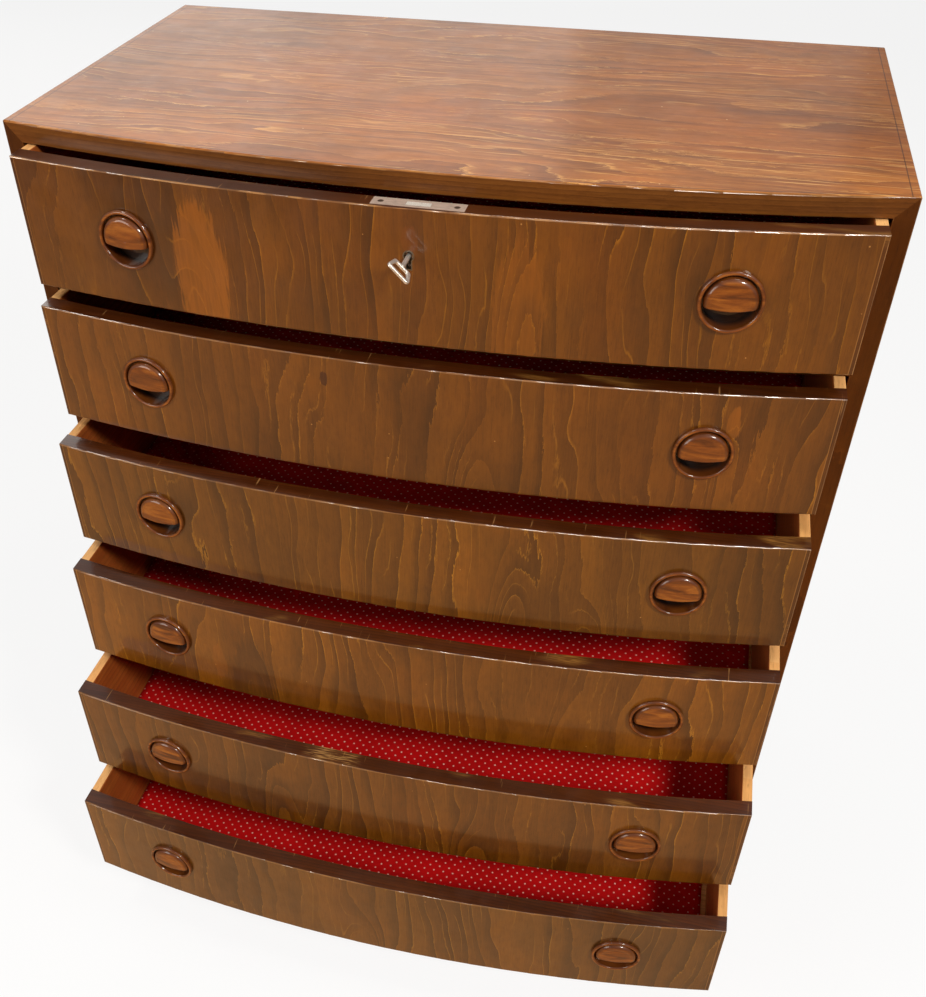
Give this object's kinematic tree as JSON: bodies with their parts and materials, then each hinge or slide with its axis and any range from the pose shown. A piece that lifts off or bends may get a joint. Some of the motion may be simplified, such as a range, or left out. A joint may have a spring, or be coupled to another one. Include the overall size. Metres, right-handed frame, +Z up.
{
  "type": "bow-fronted chest of drawers",
  "caption": "Tall bow-fronted chest of stacked full-width drawers with round recessed pulls, a lock with key in the top drawer and cloth-lined drawer bottoms, on a set-back plinth.",
  "frame": {"origin": "on the floor, under the middle of the outline of the chest with its drawers pulled out as at rest", "axes": "+Z up, +X to the right as one faces the chest, -Y out of its front (drawers pull along -Y)"},
  "size_m": [0.8, 0.657, 0.94],
  "materials": {
    "front_veneer": "walnut-brown stained figured veneer, semi-gloss lacquer, grain upright",
    "top_veneer": "lighter brown stained veneer, lacquered, grain along the width",
    "case_veneer": "dark walnut-brown stain under semi-gloss lacquer",
    "drawer_wood": "pale beech, planed, thin clear finish",
    "runner_wood": "plain beech, waxed by use",
    "plywood": "thin birch plywood, unfinished",
    "lining_cloth": "red cotton lining printed with small pale dots in a diagonal lattice",
    "pull_wood": "turned hardwood, stained brown, glossy lacquer",
    "lock_steel": "plain lock steel, dulled",
    "bolt_steel": "bright steel, rubbed",
    "escutcheon_metal": "thin drawn metal thread, aged",
    "key_nickel": "nickel-plated steel, satin with wear",
    "screw_steel": "plain steel screws"
  },
  "bodies": {
    "carcass": {"top_panel": "top_veneer", "bottom_panel": "case_veneer", "side_left": "case_veneer", "side_right": "case_veneer", "back_panel": "plywood", "back_screws": "screw_steel", "front_rails": "case_veneer", "drawer_runners": "runner_wood", "drawer_stops": "runner_wood", "plinth_front": "case_veneer", "plinth_back": "case_veneer", "plinth_sides": "case_veneer"},
    "drawer_1": {"drawer_1_front": "front_veneer", "drawer_1_side_left": "drawer_wood", "drawer_1_side_right": "drawer_wood", "drawer_1_back": "drawer_wood", "drawer_1_bottom": "plywood", "drawer_1_lining": "lining_cloth", "drawer_1_pulls": "pull_wood", "lock_case": "lock_steel", "lock_screws": "screw_steel", "keyhole_escutcheon": "escutcheon_metal"},
    "drawer_2": {"drawer_2_front": "front_veneer", "drawer_2_side_left": "drawer_wood", "drawer_2_side_right": "drawer_wood", "drawer_2_back": "drawer_wood", "drawer_2_bottom": "plywood", "drawer_2_lining": "lining_cloth", "drawer_2_pulls": "pull_wood"},
    "drawer_3": {"drawer_3_front": "front_veneer", "drawer_3_side_left": "drawer_wood", "drawer_3_side_right": "drawer_wood", "drawer_3_back": "drawer_wood", "drawer_3_bottom": "plywood", "drawer_3_lining": "lining_cloth", "drawer_3_pulls": "pull_wood"},
    "drawer_4": {"drawer_4_front": "front_veneer", "drawer_4_side_left": "drawer_wood", "drawer_4_side_right": "drawer_wood", "drawer_4_back": "drawer_wood", "drawer_4_bottom": "plywood", "drawer_4_lining": "lining_cloth", "drawer_4_pulls": "pull_wood"},
    "drawer_5": {"drawer_5_front": "front_veneer", "drawer_5_side_left": "drawer_wood", "drawer_5_side_right": "drawer_wood", "drawer_5_back": "drawer_wood", "drawer_5_bottom": "plywood", "drawer_5_lining": "lining_cloth", "drawer_5_pulls": "pull_wood"},
    "drawer_6": {"drawer_6_front": "front_veneer", "drawer_6_side_left": "drawer_wood", "drawer_6_side_right": "drawer_wood", "drawer_6_back": "drawer_wood", "drawer_6_bottom": "plywood", "drawer_6_lining": "lining_cloth", "drawer_6_pulls": "pull_wood"},
    "key": {"key": "key_nickel"},
    "lock_bolt": {"lock_bolt": "bolt_steel"}
  },
  "joints": [
    {"name": "drawer_1_slide", "type": "slide", "parent": "carcass", "child": "drawer_1", "axis": [0, -1, 0], "range_m": [-0.03, 0.27]},
    {"name": "drawer_2_slide", "type": "slide", "parent": "carcass", "child": "drawer_2", "axis": [0, -1, 0], "range_m": [-0.039, 0.261]},
    {"name": "drawer_3_slide", "type": "slide", "parent": "carcass", "child": "drawer_3", "axis": [0, -1, 0], "range_m": [-0.068, 0.232]},
    {"name": "drawer_4_slide", "type": "slide", "parent": "carcass", "child": "drawer_4", "axis": [0, -1, 0], "range_m": [-0.102, 0.198]},
    {"name": "drawer_5_slide", "type": "slide", "parent": "carcass", "child": "drawer_5", "axis": [0, -1, 0], "range_m": [-0.154, 0.146]},
    {"name": "drawer_6_slide", "type": "slide", "parent": "carcass", "child": "drawer_6", "axis": [0, -1, 0], "range_m": [-0.201, 0.099]},
    {"name": "key_turn", "type": "hinge", "parent": "drawer_1", "child": "key", "pos_m": [0, -0.1575, 0.8798], "axis": [0, -1, 0], "range_deg": [-45, 315]},
    {"name": "lock_bolt_throw", "type": "slide", "parent": "drawer_1", "child": "lock_bolt", "axis": [0, 0, 1], "range_m": [-0.00125, 0.00875]}
  ],
  "couplings": [
    {"joint": "key_turn", "follows": "lock_bolt_throw", "rad_per_m": 628.32}
  ]
}
